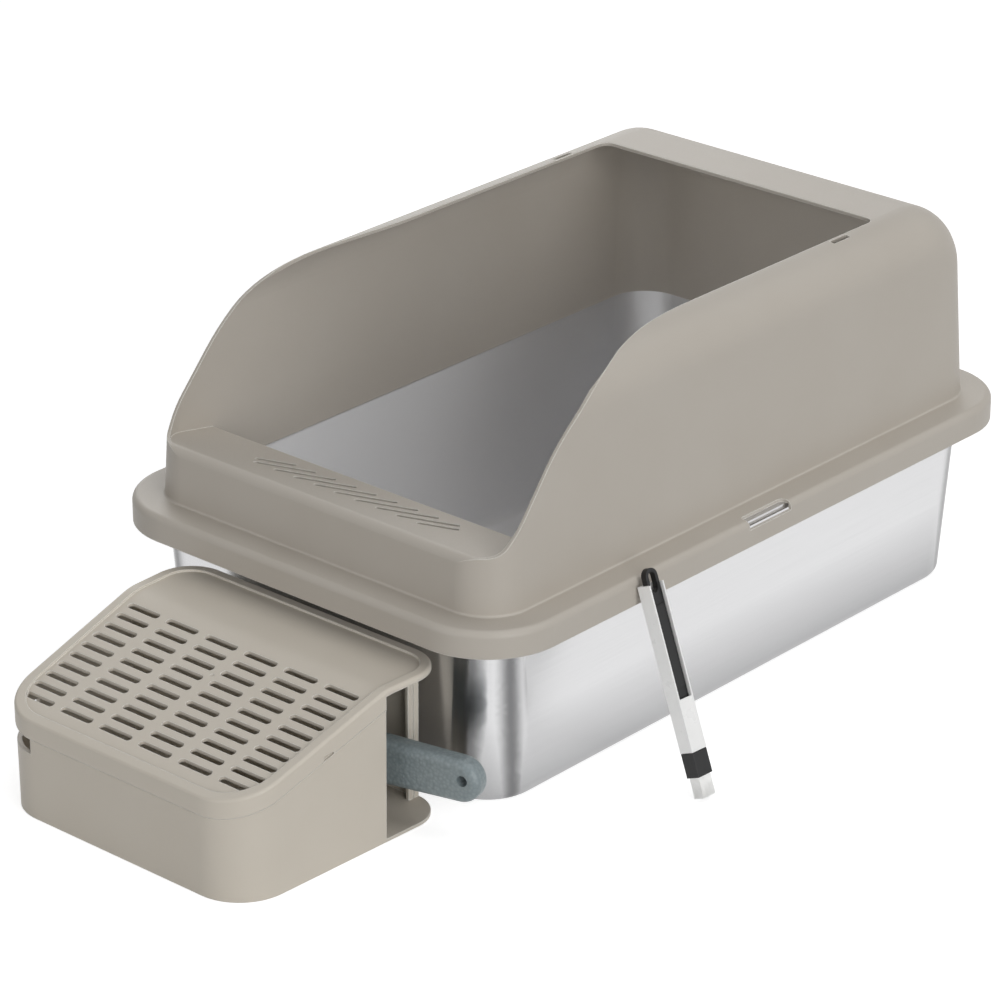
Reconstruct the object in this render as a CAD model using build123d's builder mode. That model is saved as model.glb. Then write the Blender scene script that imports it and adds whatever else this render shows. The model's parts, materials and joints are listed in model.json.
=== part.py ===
# Open litter box: a drawn steel pan under a high-sided plastic guard, a slotted step in front of it,
# a scoop kept inside the step and a small brush in its dustpan sleeve.
# Millimetres, Z up, front towards -Y, origin on the floor under the middle of the pan.
import math
import os

from build123d import *

os.makedirs("parts", exist_ok=True)

# Shared values
skin = 2.5
overrun = 20
running_gap = 0.4

# Guard flange that caps the pan's rim
flange_length = 600
flange_width = 380
flange_corner = 59
flange_bottom = 128
flange_top = 148
flange_round = 5

# Guard walls above the flange
foot_inset = 24
foot_round = 1.5
guard_draft = 2.5
guard_top = 298.5
guard_round = 34
end_round = 50
mouth_side_inset = 61
mouth_rear_inset = 113
mouth_corner = 8
flare_lead_share = 0.853
flare_round_share = 8.824
flare_end_share = 3.529
flare_degrees = 20

# Low entry at the front with its sloping ledge and slots
sill_top = 190
sill_round = 6.5
sill_depth = 64
sill_fall = 11
sill_web = 15
dip_low_share = 0.1659
dip_high_share = 1.4839
dip_ease_share = 4.1475
dip_run_share = 1.9258
dip_ease_degrees = 7
vent_length = 45
vent_short = 30
vent_width = 4.6
vent_angle = 30
vent_pitch = 19.5
vent_count = 8
vent_middle = 3.5
vent_setback = 64
vent_end_step = 80.5
vent_end_shift = 3.5

# Moulding windows over the pan's rim and the small slots beside the mouth
window_length = 47
window_place = -6
window_reach = 9.5
window_drop = 6.5
window_corner = 4
catch_length = 34
catch_height = 4
catch_depth = 1.2
mouth_slot_length = 19
mouth_slot_width = 4.5
mouth_slot_lip = 1.6
mouth_slot_setback = 46.5

# Steel pan
sheet = 0.8
pan_floor_side_inset = 30.5
pan_floor_end_inset = 31
pan_floor_corner = 40
pan_mouth_inset = 25
pan_mouth_corner = 33
pan_bend = 8
rim_inset = 4.5
rim_hem = 1.6
rim_hem_depth = 4
rim_round = 1

# Step tray
step_middle = 10
step_setback = 15
step_length = 195
step_front_half = 117
step_rear_half = 124
step_front_corner = 38
step_rear_corner = 28
step_draft = 0.5
step_block = 130
step_skin = 3
bay_depth = 60
bay_side = 106
bay_rib_depth = 10
bay_rib_groove = 1.5
notch_edge = -72
notch_length = 40
notch_bottom = 49.5
notch_top = 66

# Step tread
tread_front_height = 75.5
tread_landing_height = 115
tread_landing_length = 60
tread_crest_radius = 45
tread_rim = 8
tread_recess = 1.6
tread_plate = 2.5
tread_edge_round = 2.4
tread_edge_share = 0.9
tread_reach = 1.2
skirt_depth = 14
skirt_skin = 1.6
skirt_seam = 0.4
tread_seat_gap = 0.3
skirt_notch_length = 9
skirt_notch_height = 3
skirt_notch_setback = 81
tread_slot_length = 30
tread_slot_width = 5.3
tread_slot_columns = 6
tread_slot_rows = 10
tread_slot_pitch = 37.8
tread_slot_row_pitch = 11.25
tread_slot_setback = 71
tread_slot_margin = 0.6
gate_mark_setback = 93.5
gate_mark_radius = 1.8
gate_mark_depth = 0.4

# Scoop
scoop_tip = -45
scoop_heel = 76
scoop_width = 88
scoop_setback = 55
scoop_plate = 2.2
scoop_heel_depth = 30
scoop_tip_depth = 7
scoop_tip_corner = 14
scoop_slot_length = 78
scoop_slot_width = 5.5
scoop_slot_count = 6
scoop_slot_pitch = 12.4
scoop_slot_middle = 10
neck_height = 46
neck_depth = 12
handle_angle = 12.7
handle_start = 97
handle_setback = 40.5
handle_height = 48
grip_length = 90
grip_start_half = 17.5
grip_end_half = 16
grip_half_depth = 8.5
grip_round = 6
tang_length = 55
tang_height = 16
tang_depth = 6
hang_hole_radius = 4
hang_hole_inset = 12.3
hang_hole_rise = 2.2

# Brush and dustpan sleeve, leaning on the flange
brush_rest = 12.46
brush_setback = 145.5
brush_lift = 1.9
brush_lean = 22.2
brush_tilt = 2.9
brush_width = 15.4
brush_depth = 11.2
sleeve_skin = 1.3
sleeve_bottom = 33.9
sleeve_window = 71.5
sleeve_top = 153.5
sleeve_gap = 0.35
ferrule_bottom = 16
ferrule_top = 33.5
ferrule_round = 0.6
stem_rest = 2.8
stem_depth = 4.6
panel_bottom = 79.5
panel_top = 138.5
panel_rise = 0.8
panel_inset = 1
loop_top = 164.5
loop_hole_width = 7
loop_hole_length = 15
tuft_width = 13.8
tuft_depth = 9.4
tuft_slice = 1
tuft_columns = 26
tuft_rows = 13
strand = 0.36
strand_lengths = (13.2, 14, 14.7)

guard_lean = math.tan(math.radians(guard_draft))
far = flange_length

# Places that follow from the sizes
flange_front = -flange_length / 2
mouth_width = flange_width - 2 * mouth_side_inset
mouth_rear = flange_length / 2 - mouth_rear_inset
mouth_slot_place = mouth_rear - mouth_slot_setback
vent_row = flange_front + vent_setback
entry_rise = guard_top - sill_top
dip_low_radius = dip_low_share * entry_rise
dip_high_radius = dip_high_share * entry_rise
dip_ease_radius = dip_ease_share * entry_rise
flare_radius = flare_round_share * guard_round
flare_end_radius = flare_end_share * guard_round
pan_floor_width = flange_width - 2 * pan_floor_side_inset
pan_floor_length = flange_length - 2 * pan_floor_end_inset
pan_mouth_width = flange_width - 2 * pan_mouth_inset
pan_mouth_length = flange_length - 2 * pan_mouth_inset
step_rear = flange_front + step_setback
step_front = step_rear - step_length
bay_front = step_rear - bay_depth
tread_crest = step_rear - tread_landing_length
notch_rear = step_front + notch_length
skirt_notch_place = step_front + skirt_notch_setback
tread_slot_middle = step_front + tread_slot_setback
gate_mark_place = step_front + gate_mark_setback
scoop_face = step_rear - scoop_setback
handle_place = step_rear - handle_setback
brush_foot = flange_width / 2 + flange_bottom * math.tan(math.radians(brush_lean)) + brush_rest
brush_place = flange_front + brush_setback


def guard_half(span, height):
    # Half the guard's outside size across a span at a height
    return span / 2 - foot_inset - (height - flange_top) * guard_lean


def guard_block(inset, bottom):
    # Closed block that follows the guard's skin, drawn in by an inset
    top = guard_top - inset
    low_y = guard_half(flange_length, bottom) - inset
    high_y = guard_half(flange_length, top) - inset
    low_x = guard_half(flange_width, bottom) - inset
    high_x = guard_half(flange_width, top) - inset
    with BuildPart() as block:
        with BuildSketch(Plane.YZ) as side_view:
            with BuildLine():
                Polyline((-low_y, bottom), (low_y, bottom), (high_y, top), (-high_y, top), close=True)
            make_face()
            fillet(side_view.vertices().group_by(Axis.Y)[-1], radius=end_round - inset)
        extrude(amount=flange_width, both=True)
        with BuildSketch(Plane.XZ):
            with BuildLine():
                Polyline((-low_x, bottom), (low_x, bottom), (high_x, top), (-high_x, top), close=True)
            make_face()
        extrude(amount=flange_length, both=True, mode=Mode.INTERSECT)
        by_side = block.faces().sort_by(Axis.X)
        outline = by_side[0].edges() + by_side[-1].edges()
        outline = outline.filter_by(lambda edge: edge.center().Z > bottom + skin)
        fillet(outline, radius=guard_round - inset)
    return block.part


# Entry line in side view: round over the sill, rise, straight, round and an easy curve into the top
front_skin = -guard_half(flange_length, sill_top - sill_round)
crest = front_skin + sill_round
dip_end = crest + dip_run_share * entry_rise
flare_start = dip_end + flare_lead_share * guard_round
ease_sine = math.sin(math.radians(dip_ease_degrees))
ease_cosine = math.cos(math.radians(dip_ease_degrees))
radius_step = dip_ease_radius - dip_high_radius
low_center = (crest, sill_top + dip_low_radius)
high_center = (dip_end - radius_step * ease_sine, guard_top - dip_ease_radius + radius_step * ease_cosine)
center_run = high_center[0] - low_center[0]
center_rise = high_center[1] - low_center[1]
center_reach = math.hypot(center_run, center_rise)
dip_angle = math.asin((dip_low_radius + dip_high_radius) / center_reach)
dip_angle = dip_angle + math.atan2(center_rise, center_run)
dip_sine = math.sin(dip_angle)
dip_cosine = math.cos(dip_angle)
rise_start = (low_center[0] + dip_low_radius * dip_sine, low_center[1] - dip_low_radius * dip_cosine)
rise_end = (high_center[0] - dip_high_radius * dip_sine, high_center[1] + dip_high_radius * dip_cosine)
dip_degrees = math.degrees(dip_angle)

guard_outer = guard_block(0, flange_top - skin)
guard_inner = guard_block(skin, flange_bottom - overrun)

# Ledge behind the sill, thick at the front so that the sill can be rounded
ledge_end = front_skin + sill_depth
web_end = front_skin + sill_web
ledge_low = sill_top - sill_fall
ledge_slope = sill_fall / (ledge_end - crest)
web_low = sill_top - (web_end - crest) * ledge_slope - skin
with BuildPart() as ledge:
    with BuildSketch(Plane.YZ):
        with BuildLine():
            Polyline(
                (front_skin - overrun, sill_top),
                (crest, sill_top),
                (ledge_end, ledge_low),
                (ledge_end, ledge_low - skin),
                (web_end, web_low),
                (front_skin - overrun, web_low - sill_web - overrun),
                close=True,
            )
        make_face()
    extrude(amount=flange_width, both=True)
    add(guard_outer, mode=Mode.INTERSECT)

with BuildPart() as guard:
    with BuildSketch(Plane.XY.offset(flange_bottom)):
        RectangleRounded(flange_width, flange_length, flange_corner)
    extrude(amount=flange_top - flange_bottom)
    fillet(guard.faces().sort_by(Axis.Z)[-1].edges(), radius=flange_round)
    with BuildSketch(Plane.XY.offset(flange_bottom)):
        RectangleRounded(flange_width - 2 * skin, flange_length - 2 * skin, flange_corner - skin)
    extrude(amount=flange_top - flange_bottom - skin, mode=Mode.SUBTRACT)
    add(guard_outer)
    foot_x = guard_half(flange_width, flange_top) + running_gap
    foot_y = guard_half(flange_length, flange_top) + running_gap
    foot_edges = guard.edges().filter_by(lambda edge: abs(edge.center().Z - flange_top) < running_gap)
    foot_edges = foot_edges.filter_by(lambda edge: abs(edge.center().X) < foot_x)
    foot_edges = foot_edges.filter_by(lambda edge: abs(edge.center().Y) < foot_y)
    fillet(foot_edges, radius=foot_round)
    add(guard_inner, mode=Mode.SUBTRACT)
    add(ledge.part)
    # Entry cut from the sill up to the top edge
    with BuildSketch(Plane.YZ):
        with BuildLine():
            start = Line((front_skin - overrun, sill_top - sill_round), (front_skin, sill_top - sill_round))
            roll = JernArc(start @ 1, (0, 1), sill_round, -90)
            low = JernArc(roll @ 1, (1, 0), dip_low_radius, dip_degrees)
            straight = Line(rise_start, rise_end)
            high = JernArc(straight @ 1, straight % 1, dip_high_radius, dip_ease_degrees - dip_degrees)
            ease = JernArc(high @ 1, high % 1, dip_ease_radius, -dip_ease_degrees)
            Polyline(
                ease @ 1,
                (dip_end, guard_top + overrun),
                (front_skin - overrun, guard_top + overrun),
                start @ 0,
            )
        make_face()
    extrude(amount=flange_width, both=True, mode=Mode.SUBTRACT)
    # Mouth in the top, flared at the front so that its edge runs smoothly into the entry
    with BuildSketch(Plane.XY.offset(guard_top - guard_round)):
        with Locations((0, mouth_rear - far / 2)):
            RectangleRounded(mouth_width, far, mouth_corner)
        for end in (-1, 1):
            with BuildLine():
                lead = Line((0, flare_start), (end * mouth_width / 2, flare_start))
                out = JernArc(lead @ 1, (0, -1), flare_radius, end * flare_degrees)
                back = JernArc(out @ 1, out % 1, flare_end_radius, -end * flare_degrees)
                close = Line(back @ 1, (0, (back @ 1).Y))
                Line(close @ 1, lead @ 0)
            make_face()
    extrude(amount=guard_round + overrun, mode=Mode.SUBTRACT)
    # Drain slots in the ledge
    with BuildSketch(Plane.XY.offset(ledge_low - overrun)):
        for number in range(vent_count):
            place = vent_middle + (number - (vent_count - 1) / 2) * vent_pitch
            with Locations((place, vent_row)):
                SlotOverall(vent_length, vent_width, rotation=vent_angle)
        for end in (-1, 1):
            with Locations((vent_middle + end * vent_end_step, vent_row - end * vent_end_shift)):
                SlotOverall(vent_short, vent_width, rotation=vent_angle)
    extrude(amount=sill_fall + 2 * overrun, mode=Mode.SUBTRACT)
    for end in (-1, 1):
        # Window over the rim with the catch below it
        with BuildSketch(Plane.XY.offset(flange_top - window_drop)):
            with Locations((end * (flange_width / 2 - window_reach + overrun / 2), window_place)):
                RectangleRounded(overrun, window_length, window_corner)
        extrude(amount=window_drop + skin, mode=Mode.SUBTRACT)
        with BuildSketch(Plane.XY.offset(flange_bottom + skin)):
            with Locations((end * (flange_width / 2 - skin - catch_depth / 2), window_place)):
                Rectangle(catch_depth, catch_length)
        extrude(amount=catch_height)
        # Small slot beside the mouth
        slot_place = mouth_width / 2 + mouth_slot_lip + mouth_slot_width / 2
        with BuildSketch(Plane.XY.offset(guard_top - guard_round / 2)):
            with Locations((end * slot_place, mouth_slot_place)):
                Rectangle(mouth_slot_width, mouth_slot_length)
        extrude(amount=guard_round, mode=Mode.SUBTRACT)

guard.part.label = "guard"
export_step(guard.part, "parts/guard.step")

# Steel pan
rim_top = flange_top - skin


def pan_block(inset, top):
    # Closed block that follows the pan's wall, drawn in by an inset
    both = 2 * inset
    with BuildPart() as block:
        with BuildSketch(Plane.XY.offset(inset)):
            RectangleRounded(pan_floor_width - both, pan_floor_length - both, pan_floor_corner - inset)
        with BuildSketch(Plane.XY.offset(top)):
            RectangleRounded(pan_mouth_width - both, pan_mouth_length - both, pan_mouth_corner - inset)
        loft()
        fillet(block.faces().sort_by(Axis.Z)[0].edges(), radius=pan_bend - inset)
    return block.part


with BuildPart() as steel_pan:
    add(pan_block(0, rim_top))
    rim_width = flange_width - 2 * rim_inset
    rim_length = flange_length - 2 * rim_inset
    rim_corner = flange_corner - rim_inset
    with BuildSketch(Plane.XY.offset(rim_top - rim_hem_depth)):
        RectangleRounded(rim_width, rim_length, rim_corner)
    extrude(amount=rim_hem_depth)
    fillet(steel_pan.faces().sort_by(Axis.Z)[-1].outer_wire().edges(), radius=rim_round)
    with BuildSketch(Plane.XY.offset(rim_top - rim_hem_depth)):
        RectangleRounded(rim_width - 2 * rim_hem, rim_length - 2 * rim_hem, rim_corner - rim_hem)
        RectangleRounded(pan_mouth_width, pan_mouth_length, pan_mouth_corner, mode=Mode.SUBTRACT)
    extrude(amount=rim_hem_depth - sheet, mode=Mode.SUBTRACT)
    add(pan_block(sheet, rim_top), mode=Mode.SUBTRACT)

steel_pan.part.label = "steel_pan"
export_step(steel_pan.part, "parts/steel_pan.step")

# Step: outline in plan, and the tread's top line in side view
skirt_inside = tread_reach - skirt_skin
tray_rebate = skirt_inside - running_gap
tread_slope = (tread_landing_height - tread_front_height) / (tread_crest - step_front)
plate_drop = tread_recess + tread_plate


def step_outline(grow):
    # Plan of the step, larger all round by a growth
    with BuildSketch() as plan:
        with BuildLine():
            Polyline(
                (step_middle - step_front_half - grow, step_front - grow),
                (step_middle + step_front_half + grow, step_front - grow),
                (step_middle + step_rear_half + grow, step_rear + grow),
                (step_middle - step_rear_half - grow, step_rear + grow),
                close=True,
            )
        make_face()
        fillet(plan.vertices().group_by(Axis.Y)[0], radius=step_front_corner + grow)
        fillet(plan.vertices().group_by(Axis.Y)[-1], radius=step_rear_corner + grow)
    return plan.sketch


def under_tread(drop, start):
    # Side view of all that lies below the tread's top line lowered by a drop, from a start to the rear
    start_height = tread_landing_height - (tread_crest - start) * tread_slope - drop
    rear = step_rear + overrun
    with BuildSketch() as view:
        with BuildLine():
            Polyline(
                (start, -overrun),
                (rear, -overrun),
                (rear, tread_landing_height - drop),
                (tread_crest, tread_landing_height - drop),
                (start, start_height),
                close=True,
            )
        make_face()
        bend = view.vertices().sort_by_distance((tread_crest, tread_landing_height - drop))[0]
        fillet(bend, radius=tread_crest_radius)
    return view.sketch


step_far = step_front - overrun
tray_outside = step_outline(0)
tray_inside = step_outline(-step_skin)
tray_drawn_in = step_outline(tray_rebate)
tray_top = under_tread(plate_drop + tread_seat_gap, step_far)
skirt_seat = under_tread(skirt_depth + skirt_seam, step_far)

# Whole tray before it is hollowed
with BuildPart() as tray_block:
    with BuildSketch():
        add(tray_outside)
    extrude(amount=step_block, taper=-step_draft)
    with BuildSketch(Plane.YZ):
        add(tray_top)
    extrude(amount=far, both=True, mode=Mode.INTERSECT)

# Wall between the litter catch and the scoop bay, and the rib at the end of the rear wall
with BuildPart() as bay_wall:
    with BuildSketch():
        with Locations((step_middle, bay_front - skin / 2)):
            Rectangle(2 * step_rear_half, skin)
        with Locations((bay_side - skin / 2, step_rear - bay_rib_depth / 2)):
            Rectangle(skin, bay_rib_depth)
        with Locations((bay_side, step_rear - bay_rib_depth / 2)):
            Rectangle(bay_rib_groove, bay_rib_groove, mode=Mode.SUBTRACT)
    extrude(amount=step_block)
    add(tray_block.part, mode=Mode.INTERSECT)

# Rebate round the front half that takes the tread's skirt
with BuildPart() as skirt_rebate:
    with BuildSketch():
        with Locations((0, bay_front - far / 2)):
            Rectangle(2 * far, far)
    extrude(amount=step_block)
    with BuildSketch():
        add(tray_drawn_in)
    extrude(amount=step_block, mode=Mode.SUBTRACT)
    with BuildSketch(Plane.YZ):
        add(skirt_seat)
    extrude(amount=far, both=True, mode=Mode.SUBTRACT)

with BuildPart() as step_tray:
    add(tray_block.part)
    with BuildSketch(Plane.XY.offset(skin)):
        add(tray_inside)
    extrude(amount=step_block, mode=Mode.SUBTRACT)
    # Open side of the scoop bay
    with BuildSketch(Plane.XY.offset(skin)):
        with Locations((bay_side + far / 2, bay_front + far / 2)):
            Rectangle(far, far)
    extrude(amount=step_block, mode=Mode.SUBTRACT)
    add(bay_wall.part)
    add(skirt_rebate.part, mode=Mode.SUBTRACT)
    # Finger notch round the front left corner
    with BuildSketch(Plane.XY.offset(notch_bottom)):
        with Locations((notch_edge - far / 2, notch_rear - far / 2)):
            Rectangle(far, far)
    extrude(amount=notch_top - notch_bottom, mode=Mode.SUBTRACT)

step_tray.part.label = "step_tray"
export_step(step_tray.part, "parts/step_tray.step")

# Tread that sits over the tray
tread_outside = step_outline(tread_reach)
tread_inside = step_outline(skirt_inside)
tread_dished = step_outline(tread_reach - tread_rim)
slot_field = step_outline(tread_reach - tread_rim - tread_slot_margin)
tread_top = under_tread(0, step_far)
tread_dish_top = under_tread(tread_recess, step_far)
tread_under = under_tread(plate_drop, step_far)
skirt_under = under_tread(skirt_depth, step_far)
tread_tall = step_block + overrun

with BuildPart() as tread_hollow:
    with BuildSketch():
        add(tread_inside)
    extrude(amount=tread_tall)
    with BuildSketch(Plane.YZ):
        add(tread_under)
    extrude(amount=far, both=True, mode=Mode.INTERSECT)

with BuildPart() as tread_rear:
    with BuildSketch(Plane.YZ):
        add(tread_under)
    extrude(amount=far, both=True)
    with BuildSketch(Plane.XY.offset(-overrun)):
        with Locations((0, bay_front + far / 2)):
            Rectangle(2 * far, far)
    extrude(amount=far, mode=Mode.INTERSECT)

with BuildPart() as tread_dish:
    with BuildSketch():
        add(tread_dished)
    extrude(amount=tread_tall)
    with BuildSketch(Plane.YZ):
        add(tread_dish_top)
    extrude(amount=far, both=True, mode=Mode.SUBTRACT)

notch_line = tread_landing_height - (tread_crest - skirt_notch_place) * tread_slope - skirt_depth
with BuildPart() as step_tread:
    with BuildSketch():
        add(tread_outside)
    extrude(amount=tread_tall)
    with BuildSketch(Plane.YZ):
        add(tread_top)
    extrude(amount=far, both=True, mode=Mode.INTERSECT)
    top_faces = step_tread.faces().filter_by(lambda face: face.normal_at().Z > tread_edge_share)
    top_edges = ShapeList()
    for face in top_faces:
        for edge in face.edges():
            across = edge.length > step_front_half
            inner = step_front + overrun < edge.center().Y < step_rear - overrun
            if not (across and inner and edge.bounding_box().size.Y < overrun):
                top_edges.append(edge)
    fillet(top_edges, radius=tread_edge_round)
    with BuildSketch(Plane.YZ):
        add(skirt_under)
    extrude(amount=far, both=True, mode=Mode.SUBTRACT)
    add(tread_hollow.part, mode=Mode.SUBTRACT)
    add(tread_rear.part, mode=Mode.SUBTRACT)
    add(tread_dish.part, mode=Mode.SUBTRACT)
    # Litter slots, cut short where they meet the dish's corners
    with BuildSketch():
        with Locations((step_middle, tread_slot_middle)):
            with GridLocations(tread_slot_pitch, tread_slot_row_pitch, tread_slot_columns, tread_slot_rows):
                SlotOverall(tread_slot_length, tread_slot_width)
        add(slot_field, mode=Mode.INTERSECT)
    extrude(amount=tread_tall, mode=Mode.SUBTRACT)
    # Small notches in the side skirts
    with BuildSketch(Plane.YZ):
        with Locations((skirt_notch_place, notch_line)):
            Rectangle(skirt_notch_length, 2 * skirt_notch_height)
    extrude(amount=far, both=True, mode=Mode.SUBTRACT)
    # Gate mark
    mark_height = tread_landing_height - (tread_crest - gate_mark_place) * tread_slope - tread_recess
    with BuildSketch(Plane.XY.offset(mark_height - gate_mark_depth)):
        with Locations((step_middle, gate_mark_place)):
            Circle(gate_mark_radius)
    extrude(amount=overrun, mode=Mode.SUBTRACT)

step_tread.part.label = "step_tread"
export_step(step_tread.part, "parts/step_tread.step")

# Scoop lying on its side in the bay
scoop_low = skin
scoop_high = scoop_low + scoop_width
scoop_center = scoop_low + scoop_width / 2
handle_cosine = math.cos(math.radians(handle_angle))
handle_sine = math.sin(math.radians(handle_angle))
heel_place = handle_place - (handle_start - scoop_heel) * handle_sine / handle_cosine
heel_plane = Plane(origin=(scoop_heel, heel_place, handle_height), x_dir=(0, 1, 0), z_dir=(1, 0, 0))
handle_plane = Plane(
    origin=(handle_start, handle_place, handle_height),
    x_dir=(-handle_sine, handle_cosine, 0),
    z_dir=(handle_cosine, handle_sine, 0),
)
grip_plane = Plane(
    origin=(handle_start, handle_place, handle_height),
    x_dir=(handle_cosine, handle_sine, 0),
    z_dir=(handle_sine, -handle_cosine, 0),
)
scoop_plane = Plane.XZ.offset(-scoop_face)

with BuildPart() as scoop_blade:
    with BuildSketch(Plane.XY.offset(scoop_low)):
        with BuildLine():
            Polyline(
                (scoop_tip, scoop_face),
                (scoop_heel, scoop_face),
                (scoop_heel, scoop_face + scoop_heel_depth),
                (scoop_tip, scoop_face + scoop_tip_depth),
                close=True,
            )
        make_face()
    extrude(amount=scoop_width)
    tip_edges = scoop_blade.edges().filter_by(Axis.Y).group_by(Axis.X)[0]
    fillet(tip_edges, radius=scoop_tip_corner)
    with BuildSketch(Plane.XY.offset(scoop_low + scoop_plate)):
        with BuildLine():
            Polyline(
                (scoop_tip - overrun, scoop_face + scoop_plate),
                (scoop_heel - scoop_plate, scoop_face + scoop_plate),
                (scoop_heel - scoop_plate, scoop_face + scoop_heel_depth + overrun),
                (scoop_tip - overrun, scoop_face + scoop_heel_depth + overrun),
                close=True,
            )
        make_face()
    extrude(amount=scoop_width - 2 * scoop_plate, mode=Mode.SUBTRACT)
    with BuildSketch(scoop_plane):
        with Locations((scoop_slot_middle, scoop_center)):
            with GridLocations(scoop_slot_length, scoop_slot_pitch, 1, scoop_slot_count):
                SlotOverall(scoop_slot_length, scoop_slot_width)
    extrude(amount=scoop_plate, both=True, mode=Mode.SUBTRACT)
    # Neck and the tang inside the grip
    with BuildSketch(heel_plane):
        Rectangle(neck_depth, neck_height)
    with BuildSketch(handle_plane):
        Rectangle(2 * grip_half_depth - skin, 2 * grip_start_half - skin)
    loft()
    with BuildSketch(handle_plane):
        Rectangle(tang_depth, tang_height)
    extrude(amount=tang_length)

scoop_blade.part.label = "scoop_blade"
export_step(scoop_blade.part, "parts/scoop_blade.step")

with BuildPart() as scoop_grip:
    with BuildSketch(grip_plane):
        with BuildLine():
            low_side = Line((0, -grip_start_half), (grip_length - grip_end_half, -grip_end_half))
            nose = ThreePointArc(
                low_side @ 1,
                (grip_length, 0),
                (grip_length - grip_end_half, grip_end_half),
            )
            high_side = Line(nose @ 1, (0, grip_start_half))
            Line(high_side @ 1, low_side @ 0)
        make_face()
    extrude(amount=grip_half_depth, both=True)
    sides = scoop_grip.faces().filter_by(Plane(origin=(0, 0, 0), z_dir=grip_plane.z_dir))
    start_face = scoop_grip.faces().sort_by(Axis.X)[0]
    start_middle = start_face.center()
    long_edges = ShapeList()
    for face in sides:
        for edge in face.edges():
            if (edge.center() - start_middle).length > grip_half_depth + skin:
                long_edges.append(edge)
    fillet(long_edges, radius=grip_round)
    with BuildSketch(handle_plane):
        Rectangle(tang_depth, tang_height)
    extrude(amount=tang_length, mode=Mode.SUBTRACT)
    with BuildSketch(grip_plane):
        with Locations((grip_length - hang_hole_inset, hang_hole_rise)):
            Circle(hang_hole_radius)
    extrude(amount=2 * grip_half_depth, both=True, mode=Mode.SUBTRACT)

scoop_grip.part.label = "scoop_grip"
export_step(scoop_grip.part, "parts/scoop_grip.step")

# Brush: sketches lie in its broad face, X across and Y up along it
brush_sine = math.sin(math.radians(brush_lean))
brush_cosine = math.cos(math.radians(brush_lean))
tilt_sine = math.sin(math.radians(brush_tilt))
tilt_cosine = math.cos(math.radians(brush_tilt))
brush_origin = (brush_foot, brush_place, brush_lift)
brush_across = (0, tilt_cosine, -tilt_sine)
brush_out = (brush_cosine, tilt_sine * brush_sine, tilt_cosine * brush_sine)
brush_up = (-brush_sine, tilt_sine * brush_cosine, tilt_cosine * brush_cosine)
brush_face = Plane(origin=brush_origin, x_dir=brush_across, z_dir=brush_out)
brush_axis = Plane(origin=brush_origin, x_dir=brush_across, z_dir=brush_up)
stem_width = brush_width - 2 * sleeve_skin - 2 * sleeve_gap
back_inside = -brush_depth / 2 + sleeve_skin
stem_back = back_inside + stem_rest
sleeve_length = sleeve_top - sleeve_bottom
sleeve_middle = (sleeve_top + sleeve_bottom) / 2

with BuildPart() as dustpan_sleeve:
    with BuildSketch(brush_face):
        with Locations((0, sleeve_middle)):
            Rectangle(brush_width, sleeve_length)
    extrude(amount=brush_depth / 2, both=True)
    with BuildSketch(brush_face.offset(back_inside)):
        with Locations((0, sleeve_middle)):
            Rectangle(brush_width - 2 * sleeve_skin, sleeve_length + overrun)
    extrude(amount=brush_depth - 2 * sleeve_skin, mode=Mode.SUBTRACT)
    with BuildSketch(brush_face.offset(back_inside)):
        with Locations((0, (sleeve_window + sleeve_top + overrun) / 2)):
            Rectangle(brush_width - 2 * sleeve_skin, sleeve_top + overrun - sleeve_window)
    extrude(amount=brush_depth, mode=Mode.SUBTRACT)

dustpan_sleeve.part.label = "dustpan_sleeve"
export_step(dustpan_sleeve.part, "parts/dustpan_sleeve.step")

with BuildPart() as brush_handle:
    with BuildSketch(brush_face):
        with Locations((0, (ferrule_bottom + ferrule_top) / 2)):
            Rectangle(brush_width, ferrule_top - ferrule_bottom)
    extrude(amount=brush_depth / 2, both=True)
    fillet(brush_handle.edges().filter_by(Axis((0, 0, 0), brush_axis.z_dir)), radius=ferrule_round)
    with BuildSketch(brush_face.offset(stem_back)):
        with Locations((0, (ferrule_top + loop_top - stem_width / 2) / 2)):
            Rectangle(stem_width, loop_top - stem_width / 2 - ferrule_top)
        with Locations((0, loop_top - stem_width / 2)):
            Circle(stem_width / 2)
        with Locations((0, loop_top - stem_width / 2 + loop_hole_width / 2 - loop_hole_length / 2)):
            SlotOverall(loop_hole_length, loop_hole_width, rotation=90, mode=Mode.SUBTRACT)
    extrude(amount=stem_depth)
    with BuildSketch(brush_face.offset(stem_back + stem_depth)):
        with Locations((0, (panel_bottom + panel_top) / 2)):
            Rectangle(stem_width - 2 * panel_inset, panel_top - panel_bottom)
    extrude(amount=panel_rise)

brush_handle.part.label = "brush_handle"
export_step(brush_handle.part, "parts/brush_handle.step")

with BuildPart() as brush_bristles:
    with BuildSketch(brush_axis.offset(ferrule_bottom - tuft_slice)):
        Rectangle(tuft_width + strand, tuft_depth + strand)
    extrude(amount=tuft_slice)
    column_pitch = (tuft_width - strand) / (tuft_columns - 1)
    row_pitch = (tuft_depth - strand) / (tuft_rows - 1)
    for group, reach in enumerate(strand_lengths):
        places = []
        for column in range(tuft_columns):
            for row in range(tuft_rows):
                if (column * 2 + row * 5 + column * row) % len(strand_lengths) == group:
                    across = (column - (tuft_columns - 1) / 2) * column_pitch
                    along = (row - (tuft_rows - 1) / 2) * row_pitch
                    places.append((across, along))
        with BuildSketch(brush_axis.offset(ferrule_bottom - tuft_slice)):
            with Locations(places):
                Rectangle(strand, strand)
        extrude(amount=-reach)

brush_bristles.part.label = "brush_bristles"
export_step(brush_bristles.part, "parts/brush_bristles.step")
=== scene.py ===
import json
import math
import random

import bmesh
import bpy
from mathutils import Matrix, Vector


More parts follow.
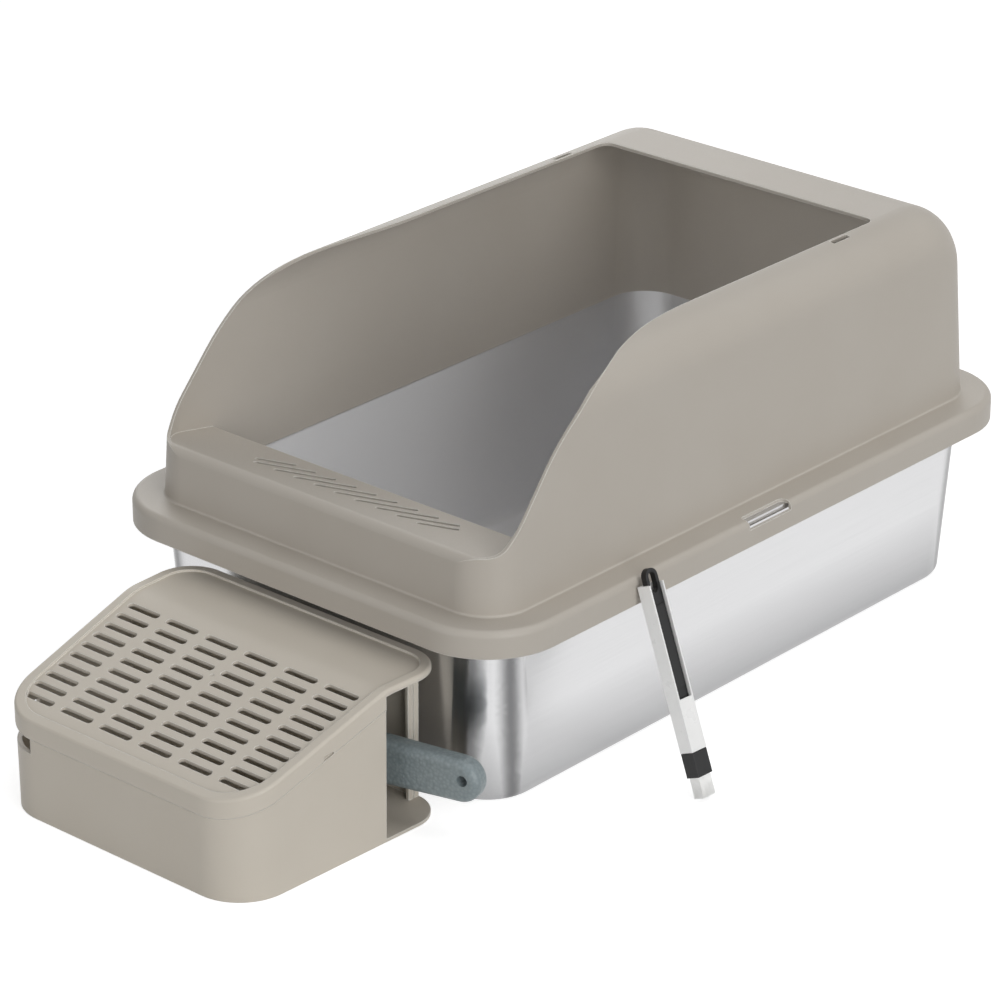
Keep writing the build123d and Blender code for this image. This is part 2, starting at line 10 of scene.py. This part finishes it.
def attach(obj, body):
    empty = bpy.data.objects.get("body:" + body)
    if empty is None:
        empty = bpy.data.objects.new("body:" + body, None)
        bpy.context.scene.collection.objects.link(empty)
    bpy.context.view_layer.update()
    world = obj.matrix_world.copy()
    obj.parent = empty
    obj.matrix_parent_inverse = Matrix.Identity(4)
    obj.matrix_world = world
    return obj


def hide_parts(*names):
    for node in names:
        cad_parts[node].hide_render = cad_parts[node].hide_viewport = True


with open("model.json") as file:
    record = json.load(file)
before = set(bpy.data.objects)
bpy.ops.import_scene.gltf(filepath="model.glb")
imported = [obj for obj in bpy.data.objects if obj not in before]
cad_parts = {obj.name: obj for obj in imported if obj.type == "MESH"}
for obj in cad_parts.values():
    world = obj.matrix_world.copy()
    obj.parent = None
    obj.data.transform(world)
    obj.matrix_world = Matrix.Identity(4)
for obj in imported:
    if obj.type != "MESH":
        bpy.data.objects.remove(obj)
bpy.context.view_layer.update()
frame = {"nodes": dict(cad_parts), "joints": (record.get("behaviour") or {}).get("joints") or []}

nodes = frame["nodes"]

# Camera, as solved from the flange and the wall lines
VIEW_AZIMUTH = 41.56
VIEW_ELEVATION = 24.32
VIEW_DISTANCE = 3.27619
VIEW_RIGHT = -0.05364
VIEW_UP = 0.08935
FOCAL_PIXELS = 4373.86
PHOTO_PIXELS = 1000
SENSOR_WIDTH = 36
CLIP_END = 30

# Floor and light; each softbox has its name, place, width and power in watts
FLOOR_SIZE = 15
FLOOR_TONE = "#CFCFCF"
FLOOR_LIFT = 0.74
WHITE = "#FFFFFF"
AMBIENT = 0.08
LAMP_AIM = (0.02, -0.06, 0.12)
SOFTBOXES = (
    ("overhead_box", (0.8, 0.5, 3.0), 2.8, 42),
    ("right_fill", (9.0, -3.4, 2.9), 5.7, 505),
    ("front_fill", (-1.2, -9.6, 2.9), 5.7, 190),
    ("rear_fill", (-7.4, 5.8, 3.9), 5.6, 230),
)

# Sizes of the finishes' patterns, in millimetres
CLOUD_SIZE = 70
GRAIN_SIZE = 1.4
HAIRLINE_LENGTH = 90
HAIRLINE_PITCH = 1.2
PEBBLE_SIZE = 2.6
FLOW_SIZE = 9
STRAND_SIZE = 1.1

# Edges of the mouldings: the rounding of each, and how far the rounded normal has to lean from the
# true one, as the cosine between them, for the painted edge highlight to start and to be full
MATTE_EDGE = 0.0011
SMOOTH_EDGE = 0.0004
EDGE_SAMPLES = 4
EDGE_HIGHLIGHT_STARTS = 0.99
EDGE_HIGHLIGHT_FULL = 0.86
EDGE_HIGHLIGHT_MOST = 0.95

# Middle range of the noise, and the roughness that the matte grain has across it
NOISE_LOW = 0.3
NOISE_HIGH = 0.7
GRAIN_SMOOTH = 0.44
GRAIN_ROUGH = 0.56

# Steel: what counts as level, painted reflection bands at its corners and painted shade
# above its foot, and its polish
LEVEL_NORMAL = 0.8
PAINTED_REFLECTION_BANDS = 8
PAINTED_BAND_STARTS = 0.9
PAINTED_BAND_FULL = -1
FOOT_SHADE_HEIGHT = 0.065
FOOT_SHADE_MOST = 0.6
INSIDE_REACH = 0.02
HAIR_LOW = 0.25
HAIR_HIGH = 0.75
OUTER_SMOOTH = 0.22
OUTER_ROUGH = 0.27
INSIDE_ROUGH = 0.68

# Bristles: a fuller field than the solid's, with splayed and ragged ends
BRISTLE_COLUMNS = 40
BRISTLE_ROWS = 26
BRISTLE_SIDES = 4
BRISTLE_ROOT = 0.00019
BRISTLE_TIP = 0.00011
BRISTLE_SPLAY = 0.00025
BRISTLE_STRAY = 0.0002
BRISTLE_RAGGED = 0.0011
BRISTLE_SEED = 7

# Sockets of the Mix node, whose names repeat, by their places
FACTOR = 0
NUMBER_A, NUMBER_B = 2, 3
VECTOR_A, VECTOR_B = 4, 5
COLOUR_A, COLOUR_B = 6, 7
MIXED_NUMBER, MIXED_VECTOR, MIXED_COLOUR = 0, 1, 2


def linear(code):
    # sRGB hex colour as the linear colour that the shaders take
    values = []
    for start in (1, 3, 5):
        value = int(code[start:start + 2], 16) / 255
        values.append(value / 12.92 if value <= 0.04045 else ((value + 0.055) / 1.055) ** 2.4)
    return (*values, 1)


def per_metre(millimetres):
    # Texture scale whose features are about that size
    return 1000 / millimetres


def add_node(tree, kind, inputs=None, **settings):
    # One node with its settings, and its inputs as values or as links from other nodes
    node = tree.nodes.new(kind)
    for name, value in settings.items():
        setattr(node, name, value)
    for name, value in (inputs or {}).items():
        if isinstance(value, bpy.types.NodeSocket):
            tree.links.new(value, node.inputs[name])
        else:
            node.inputs[name].default_value = value
    return node


def new_material(name):
    # Empty material with its node tree and its Object coordinates
    material = bpy.data.materials.new(name)
    material.use_nodes = True
    tree = material.node_tree
    tree.nodes.clear()
    place = add_node(tree, "ShaderNodeTexCoord").outputs["Object"]
    return material, tree, place


def close_material(tree, shader):
    add_node(tree, "ShaderNodeOutputMaterial", {"Surface": shader.outputs[0]})


def moulded_polypropylene(name, tone, clouded, painted_edge_highlight):
    # Polypropylene from a finely eroded mould: an even matte grain, a faint cloudiness from the
    # flow, and softened edges with a painted highlight, a little paler than the walls
    material, tree, place = new_material(name)
    cloud = add_node(
        tree, "ShaderNodeTexNoise", {"Vector": place, "Scale": per_metre(CLOUD_SIZE), "Detail": 2}
    )
    body = add_node(
        tree,
        "ShaderNodeMix",
        {FACTOR: cloud.outputs["Fac"], COLOUR_A: linear(tone), COLOUR_B: linear(clouded)},
        data_type="RGBA",
    )
    rounded = add_node(tree, "ShaderNodeBevel", {"Radius": MATTE_EDGE}, samples=EDGE_SAMPLES)
    surface = add_node(tree, "ShaderNodeNewGeometry")
    agree = add_node(
        tree,
        "ShaderNodeVectorMath",
        {0: rounded.outputs["Normal"], 1: surface.outputs["Normal"]},
        operation="DOT_PRODUCT",
    )
    # Painted highlight: a paler colour along the edges, where they would catch the light
    edge = add_node(
        tree,
        "ShaderNodeMapRange",
        {
            "Value": agree.outputs["Value"],
            "From Min": EDGE_HIGHLIGHT_STARTS,
            "From Max": EDGE_HIGHLIGHT_FULL,
            "To Min": 0,
            "To Max": EDGE_HIGHLIGHT_MOST,
        },
    )
    colour = add_node(
        tree,
        "ShaderNodeMix",
        {
            FACTOR: edge.outputs["Result"],
            COLOUR_A: body.outputs[MIXED_COLOUR],
            COLOUR_B: linear(painted_edge_highlight),
        },
        data_type="RGBA",
    )
    # The real grain is about 0.3 mm; it is drawn coarser so that it still shows in the picture
    grain = add_node(
        tree, "ShaderNodeTexNoise", {"Vector": place, "Scale": per_metre(GRAIN_SIZE), "Detail": 2}
    )
    sheen = add_node(
        tree,
        "ShaderNodeMapRange",
        {
            "Value": grain.outputs["Fac"],
            "From Min": NOISE_LOW,
            "From Max": NOISE_HIGH,
            "To Min": GRAIN_SMOOTH,
            "To Max": GRAIN_ROUGH,
        },
    )
    relief = add_node(
        tree,
        "ShaderNodeBump",
        {
            "Height": grain.outputs["Fac"],
            "Strength": 0.12,
            "Distance": 0.0003,
            "Normal": rounded.outputs["Normal"],
        },
    )
    shader = add_node(
        tree,
        "ShaderNodeBsdfPrincipled",
        {
            "Base Color": colour.outputs[MIXED_COLOUR],
            "Roughness": sheen.outputs["Result"],
            "Normal": relief.outputs["Normal"],
            "IOR": 1.49,
        },
    )
    close_material(tree, shader)
    return material


def brushed_stainless(name, tone, scuffed, painted_reflection_dark, painted_inside_light):
    # Drawn stainless sheet, finely brushed and half polished: long hairlines run round the walls
    # and along the floor. Dark upright bands at each corner are a painted reflection, and the
    # walls are painted darker towards the foot, a painted reflection of the floor's shadow. The
    # inside is rougher, and painted paler: painted light.
    material, tree, place = new_material(name)
    surface = add_node(tree, "ShaderNodeNewGeometry")
    normal = surface.outputs["Normal"]
    parts = add_node(tree, "ShaderNodeSeparateXYZ", {"Vector": normal})
    level = add_node(tree, "ShaderNodeMath", {0: parts.outputs["Z"]}, operation="ABSOLUTE")
    flat = add_node(
        tree, "ShaderNodeMath", {0: level.outputs[0], 1: LEVEL_NORMAL}, operation="GREATER_THAN"
    )
    # The hairlines are drawn coarser than the real ones so that they show
    long, fine = per_metre(HAIRLINE_LENGTH), per_metre(HAIRLINE_PITCH)
    brushing = []
    for scale in ((long, long, fine), (fine, long, long)):
        lines = add_node(tree, "ShaderNodeMapping", {"Vector": place, "Scale": scale})
        noise = {"Vector": lines.outputs["Vector"], "Scale": 1, "Detail": 3}
        brushing.append(add_node(tree, "ShaderNodeTexNoise", noise).outputs["Fac"])
    wall_hair, floor_hair = brushing
    hair = add_node(
        tree,
        "ShaderNodeMix",
        {FACTOR: flat.outputs[0], NUMBER_A: wall_hair, NUMBER_B: floor_hair},
        data_type="FLOAT",
    )
    # Painted reflection: bright on the walls and on each corner's middle, dark bands between them
    side = add_node(tree, "ShaderNodeMath", {0: parts.outputs["X"]}, operation="ABSOLUTE")
    end = add_node(tree, "ShaderNodeMath", {0: parts.outputs["Y"]}, operation="ABSOLUTE")
    turn = add_node(
        tree, "ShaderNodeMath", {0: end.outputs[0], 1: side.outputs[0]}, operation="ARCTAN2"
    )
    wave = add_node(
        tree, "ShaderNodeMath", {0: turn.outputs[0], 1: PAINTED_REFLECTION_BANDS}, operation="MULTIPLY"
    )
    bands = add_node(tree, "ShaderNodeMath", {0: wave.outputs[0]}, operation="COSINE")
    painted_bands = add_node(
        tree,
        "ShaderNodeMapRange",
        {
            "Value": bands.outputs[0],
            "From Min": PAINTED_BAND_STARTS,
            "From Max": PAINTED_BAND_FULL,
            "To Min": 0,
            "To Max": 1,
        },
    )
    upright = add_node(tree, "ShaderNodeMath", {0: 1, 1: flat.outputs[0]}, operation="SUBTRACT")
    # The painted reflection bands go on the upright walls only
    dull = add_node(
        tree,
        "ShaderNodeMath",
        {0: painted_bands.outputs["Result"], 1: upright.outputs[0]},
        operation="MULTIPLY",
    )
    # Painted shade: darker towards the foot, a painted reflection of the shadow on the floor
    height = add_node(tree, "ShaderNodeSeparateXYZ", {"Vector": place})
    painted_foot_shade = add_node(
        tree,
        "ShaderNodeMapRange",
        {
            "Value": height.outputs["Z"],
            "From Min": FOOT_SHADE_HEIGHT,
            "From Max": 0,
            "To Min": 0,
            "To Max": FOOT_SHADE_MOST,
        },
    )
    painted_reflection_mask = add_node(
        tree,
        "ShaderNodeMath",
        {0: dull.outputs[0], 1: painted_foot_shade.outputs["Result"]},
        operation="MAXIMUM",
    )
    sheet = add_node(
        tree,
        "ShaderNodeMix",
        {FACTOR: hair.outputs[MIXED_NUMBER], COLOUR_A: linear(tone), COLOUR_B: linear(scuffed)},
        data_type="RGBA",
    )
    outer_colour = add_node(
        tree,
        "ShaderNodeMix",
        {
            FACTOR: painted_reflection_mask.outputs[0],
            COLOUR_A: sheet.outputs[MIXED_COLOUR],
            COLOUR_B: linear(painted_reflection_dark),
        },
        data_type="RGBA",
    )
    # The inside is where the normal points back towards the middle, or up from the floor
    outward = add_node(
        tree, "ShaderNodeVectorMath", {0: normal, 1: place}, operation="DOT_PRODUCT"
    )
    inside = add_node(
        tree,
        "ShaderNodeMath",
        {0: outward.outputs["Value"], 1: INSIDE_REACH},
        operation="LESS_THAN",
    )
    # Painted light: the inside takes a paler colour than the outside
    colour = add_node(
        tree,
        "ShaderNodeMix",
        {
            FACTOR: inside.outputs[0],
            COLOUR_A: outer_colour.outputs[MIXED_COLOUR],
            COLOUR_B: linear(painted_inside_light),
        },
        data_type="RGBA",
    )
    outer_polish = add_node(
        tree,
        "ShaderNodeMapRange",
        {
            "Value": hair.outputs[MIXED_NUMBER],
            "From Min": HAIR_LOW,
            "From Max": HAIR_HIGH,
            "To Min": OUTER_SMOOTH,
            "To Max": OUTER_ROUGH,
        },
    )
    polish = add_node(
        tree,
        "ShaderNodeMix",
        {
            FACTOR: inside.outputs[0],
            NUMBER_A: outer_polish.outputs["Result"],
            NUMBER_B: INSIDE_ROUGH,
        },
        data_type="FLOAT",
    )
    relief = add_node(
        tree,
        "ShaderNodeBump",
        {"Height": hair.outputs[MIXED_NUMBER], "Strength": 0.005, "Distance": 0.0002},
    )
    # The hairlines run level round the walls, and along the length of the floor and the rim
    round_walls = add_node(
        tree, "ShaderNodeVectorMath", {0: (0, 0, 1), 1: normal}, operation="CROSS_PRODUCT"
    )
    along = add_node(
        tree,
        "ShaderNodeMix",
        {
            FACTOR: flat.outputs[0],
            VECTOR_A: round_walls.outputs["Vector"],
            VECTOR_B: (0, 1, 0),
        },
        data_type="VECTOR",
    )
    shader = add_node(
        tree,
        "ShaderNodeBsdfPrincipled",
        {
            "Base Color": colour.outputs[MIXED_COLOUR],
            "Metallic": 1,
            "Roughness": polish.outputs[MIXED_NUMBER],
            "Anisotropic": 0.8,
            "Anisotropic Rotation": 0.25,
            "Tangent": along.outputs[MIXED_VECTOR],
            "Normal": relief.outputs["Normal"],
        },
    )
    close_material(tree, shader)
    return material


def dimpled_elastomer(name, tone, hollow_shade):
    # Soft thermoplastic rubber with a field of small raised pebbles, painted darker between them
    # as painted shade, and paler on top
    material, tree, place = new_material(name)
    pebbles = add_node(
        tree,
        "ShaderNodeTexVoronoi",
        {"Vector": place, "Scale": per_metre(PEBBLE_SIZE), "Randomness": 0.8},
        feature="F1",
    )
    # Painted shade: darker in the hollows between the pebbles
    colour = add_node(
        tree,
        "ShaderNodeMix",
        {FACTOR: pebbles.outputs["Distance"], COLOUR_A: linear(tone), COLOUR_B: linear(hollow_shade)},
        data_type="RGBA",
    )
    relief = add_node(
        tree,
        "ShaderNodeBump",
        {"Height": pebbles.outputs["Distance"], "Strength": 0.45, "Distance": 0.0006},
        invert=True,
    )
    shader = add_node(
        tree,
        "ShaderNodeBsdfPrincipled",
        {
            "Base Color": colour.outputs[MIXED_COLOUR],
            "Roughness": 0.4,
            "Normal": relief.outputs["Normal"],
            "IOR": 1.5,
        },
    )
    close_material(tree, shader)
    return material


def smooth_moulding(name, tone, dulled, gloss, dull, reflection):
    # ABS or nylon from a smooth mould: slightly glossy, with faint flow marks and handling marks
    material, tree, place = new_material(name)
    flow = add_node(
        tree, "ShaderNodeTexNoise", {"Vector": place, "Scale": per_metre(FLOW_SIZE), "Detail": 4}
    )
    colour = add_node(
        tree,
        "ShaderNodeMix",
        {FACTOR: flow.outputs["Fac"], COLOUR_A: linear(tone), COLOUR_B: linear(dulled)},
        data_type="RGBA",
    )
    shine = add_node(
        tree,
        "ShaderNodeMapRange",
        {
            "Value": flow.outputs["Fac"],
            "From Min": NOISE_LOW,
            "From Max": NOISE_HIGH,
            "To Min": gloss,
            "To Max": dull,
        },
    )
    rounded = add_node(tree, "ShaderNodeBevel", {"Radius": SMOOTH_EDGE}, samples=EDGE_SAMPLES)
    relief = add_node(
        tree,
        "ShaderNodeBump",
        {
            "Height": flow.outputs["Fac"],
            "Strength": 0.03,
            "Distance": 0.0002,
            "Normal": rounded.outputs["Normal"],
        },
    )
    shader = add_node(
        tree,
        "ShaderNodeBsdfPrincipled",
        {
            "Base Color": colour.outputs[MIXED_COLOUR],
            "Roughness": shine.outputs["Result"],
            "Normal": relief.outputs["Normal"],
            "IOR": 1.53,
            "Specular IOR Level": reflection,
        },
    )
    close_material(tree, shader)
    return material


def nylon_filament(name, tone, deep):
    # Drawn nylon filament: milky white, and a little greyer from strand to strand
    material, tree, place = new_material(name)
    strands = add_node(
        tree, "ShaderNodeTexNoise", {"Vector": place, "Scale": per_metre(STRAND_SIZE), "Detail": 1}
    )
    colour = add_node(
        tree,
        "ShaderNodeMix",
        {FACTOR: strands.outputs["Fac"], COLOUR_A: linear(tone), COLOUR_B: linear(deep)},
        data_type="RGBA",
    )
    shader = add_node(
        tree,
        "ShaderNodeBsdfPrincipled",
        {"Base Color": colour.outputs[MIXED_COLOUR], "Roughness": 0.42, "IOR": 1.53},
    )
    close_material(tree, shader)
    return material


def seen_directly(tree):
    # 1 for rays from the camera, straight or by way of a reflection or clear matter, else 0
    path = add_node(tree, "ShaderNodeLightPath")
    first = add_node(
        tree,
        "ShaderNodeMath",
        {0: path.outputs["Is Camera Ray"], 1: path.outputs["Is Glossy Ray"]},
        operation="MAXIMUM",
    )
    both = add_node(
        tree,
        "ShaderNodeMath",
        {0: first.outputs[0], 1: path.outputs["Is Transmission Ray"]},
        operation="MAXIMUM",
    )
    return both.outputs[0]


def pale_floor(name):
    # Matte studio floor, lifted towards white where it is seen, with its shadows kept
    material, tree, _ = new_material(name)
    matte = add_node(tree, "ShaderNodeBsdfDiffuse", {"Color": linear(FLOOR_TONE)})
    amount = add_node(
        tree, "ShaderNodeMath", {0: seen_directly(tree), 1: FLOOR_LIFT}, operation="MULTIPLY"
    )
    glow = add_node(tree, "ShaderNodeEmission", {"Strength": amount.outputs[0]})
    both = add_node(tree, "ShaderNodeAddShader", {0: matte.outputs[0], 1: glow.outputs[0]})
    close_material(tree, both)
    return material


def dress(node, material):
    # Gives a solid its finish
    solid = nodes[node]
    solid.data.materials.clear()
    solid.data.materials.append(material)


def brush_directions():
    # The sleeve slides along the brush, so its joint gives the brush's own directions
    slide = next(joint for joint in frame["joints"] if joint["name"] == "sleeve_slide")
    up = Vector(slide["axis"]).normalized()
    across = up.cross(Vector((1, 0, 0))).normalized()
    out = across.cross(up)
    return across, out, up


def make_bristles(material):
    # One tapered strand for each place in the ferrule, splayed from the middle and cut ragged
    across, out, up = brush_directions()
    corners = [vertex.co for vertex in nodes["brush_bristles"].data.vertices]
    spans = []
    for direction in (across, out, up):
        reach = [corner.dot(direction) for corner in corners]
        spans.append((min(reach), max(reach)))
    chance = random.Random(BRISTLE_SEED)
    field = bmesh.new()
    (left, right), (back, front), (tip, root) = spans
    middle = (left + right) / 2
    centre = (back + front) / 2
    half_width = (right - left) / 2 - BRISTLE_SPLAY - BRISTLE_STRAY - BRISTLE_ROOT
    half_depth = (front - back) / 2 - BRISTLE_SPLAY - BRISTLE_STRAY - BRISTLE_ROOT
    for column in range(BRISTLE_COLUMNS):
        for row in range(BRISTLE_ROWS):
            side = 2 * (column + 0.5) / BRISTLE_COLUMNS - 1
            depth = 2 * (row + 0.5) / BRISTLE_ROWS - 1
            foot = tip + BRISTLE_RAGGED * chance.random()
            start = across * (middle + side * half_width)
            start = start + out * (centre + depth * half_depth) + up * root
            stray = across * chance.uniform(-1, 1) + out * chance.uniform(-1, 1)
            splay = across * side + out * depth
            end = start - up * (root - foot) + splay * BRISTLE_SPLAY + stray * BRISTLE_STRAY
            line = start - end
            turn = line.to_track_quat("Z", "Y").to_matrix().to_4x4()
            bmesh.ops.create_cone(
                field,
                cap_ends=True,
                segments=BRISTLE_SIDES,
                radius1=BRISTLE_TIP,
                radius2=BRISTLE_ROOT,
                depth=line.length,
                matrix=Matrix.Translation((start + end) / 2) @ turn,
            )
    mesh = bpy.data.meshes.new("nylon_bristles")
    field.to_mesh(mesh)
    field.free()
    piece = bpy.data.objects.new("nylon_bristles", mesh)
    bpy.context.scene.collection.objects.link(piece)
    mesh.materials.append(material)
    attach(piece, "brush")
    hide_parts("brush_bristles")


def make_floor():
    sheet = bmesh.new()
    bmesh.ops.create_grid(sheet, x_segments=1, y_segments=1, size=FLOOR_SIZE / 2)
    mesh = bpy.data.meshes.new("floor")
    sheet.to_mesh(mesh)
    sheet.free()
    floor = bpy.data.objects.new("floor", mesh)
    bpy.context.scene.collection.objects.link(floor)
    mesh.materials.append(pale_floor("studio_floor"))


def light_world():
    # White where it is seen, and a quiet fill for the rest of the light
    world = bpy.data.worlds.new("studio")
    world.use_nodes = True
    tree = world.node_tree
    tree.nodes.clear()
    fill = add_node(tree, "ShaderNodeBackground", {"Color": linear(WHITE), "Strength": AMBIENT})
    white = add_node(tree, "ShaderNodeBackground", {"Color": linear(WHITE), "Strength": 1})
    mixed = add_node(
        tree,
        "ShaderNodeMixShader",
        {0: seen_directly(tree), 1: fill.outputs[0], 2: white.outputs[0]},
    )
    add_node(tree, "ShaderNodeOutputWorld", {"Surface": mixed.outputs[0]})
    bpy.context.scene.world = world


def add_softbox(name, place, width, power):
    # Square lamp that faces the object
    lamp = bpy.data.lights.new(name, "AREA")
    lamp.shape = "SQUARE"
    lamp.size = width
    lamp.energy = power
    stand = bpy.data.objects.new(name, lamp)
    bpy.context.scene.collection.objects.link(stand)
    stand.location = place
    away = Vector(place) - Vector(LAMP_AIM)
    stand.rotation_euler = away.to_track_quat("Z", "Y").to_euler()


def add_camera():
    azimuth = math.radians(VIEW_AZIMUTH)
    elevation = math.radians(VIEW_ELEVATION)
    right = Vector((math.cos(azimuth), math.sin(azimuth), 0))
    back = Vector((
        math.sin(azimuth) * math.cos(elevation),
        -math.cos(azimuth) * math.cos(elevation),
        math.sin(elevation),
    ))
    up = back.cross(right)
    lens = bpy.data.cameras.new("camera")
    lens.sensor_width = SENSOR_WIDTH
    lens.lens = FOCAL_PIXELS / PHOTO_PIXELS * SENSOR_WIDTH
    lens.clip_end = CLIP_END
    camera = bpy.data.objects.new("camera", lens)
    bpy.context.scene.collection.objects.link(camera)
    camera.location = back * VIEW_DISTANCE + right * VIEW_RIGHT + up * VIEW_UP
    camera.rotation_euler = Matrix((right, up, back)).transposed().to_euler()
    bpy.context.scene.camera = camera


guard_plastic = moulded_polypropylene(
    "taupe_polypropylene", tone="#B9B3AA", clouded="#B3ACA2", painted_edge_highlight="#F2F0EA"
)
# Painted light: the step's copy of the guard's taupe polypropylene is drawn paler
step_plastic = moulded_polypropylene(
    "step_polypropylene", tone="#CFC8BC", clouded="#C9C1B4", painted_edge_highlight="#F2F0EA"
)
steel = brushed_stainless(
    "brushed_stainless", tone="#D3D3D4", scuffed="#CFCFD0", painted_reflection_dark="#767677", painted_inside_light="#ECECED"
)
scoop_plastic = smooth_moulding(
    "moulded_grey_nylon", tone="#6E797F", dulled="#69747A", gloss=0.42, dull=0.5, reflection=0.5
)
grip_rubber = dimpled_elastomer("grip_elastomer", tone="#8A9598", hollow_shade="#747F82")
sleeve_plastic = smooth_moulding(
    "moulded_white_abs", tone="#FAFAF9", dulled="#F6F6F5", gloss=0.26, dull=0.36, reflection=0.5
)
handle_plastic = smooth_moulding(
    "moulded_black_abs", tone="#121213", dulled="#171718", gloss=0.36, dull=0.48, reflection=0.35
)
dress("guard", guard_plastic)
dress("step_tray", step_plastic)
dress("step_tread", step_plastic)
dress("steel_pan", steel)
dress("scoop_blade", scoop_plastic)
dress("scoop_grip", grip_rubber)
dress("dustpan_sleeve", sleeve_plastic)
dress("brush_handle", handle_plastic)
make_bristles(nylon_filament("nylon_filament", tone="#FEFEFD", deep="#FAFAF8"))

make_floor()
light_world()
for name, place, width, power in SOFTBOXES:
    add_softbox(name, place, width, power)
add_camera()
bpy.context.scene.view_settings.view_transform = "Standard"
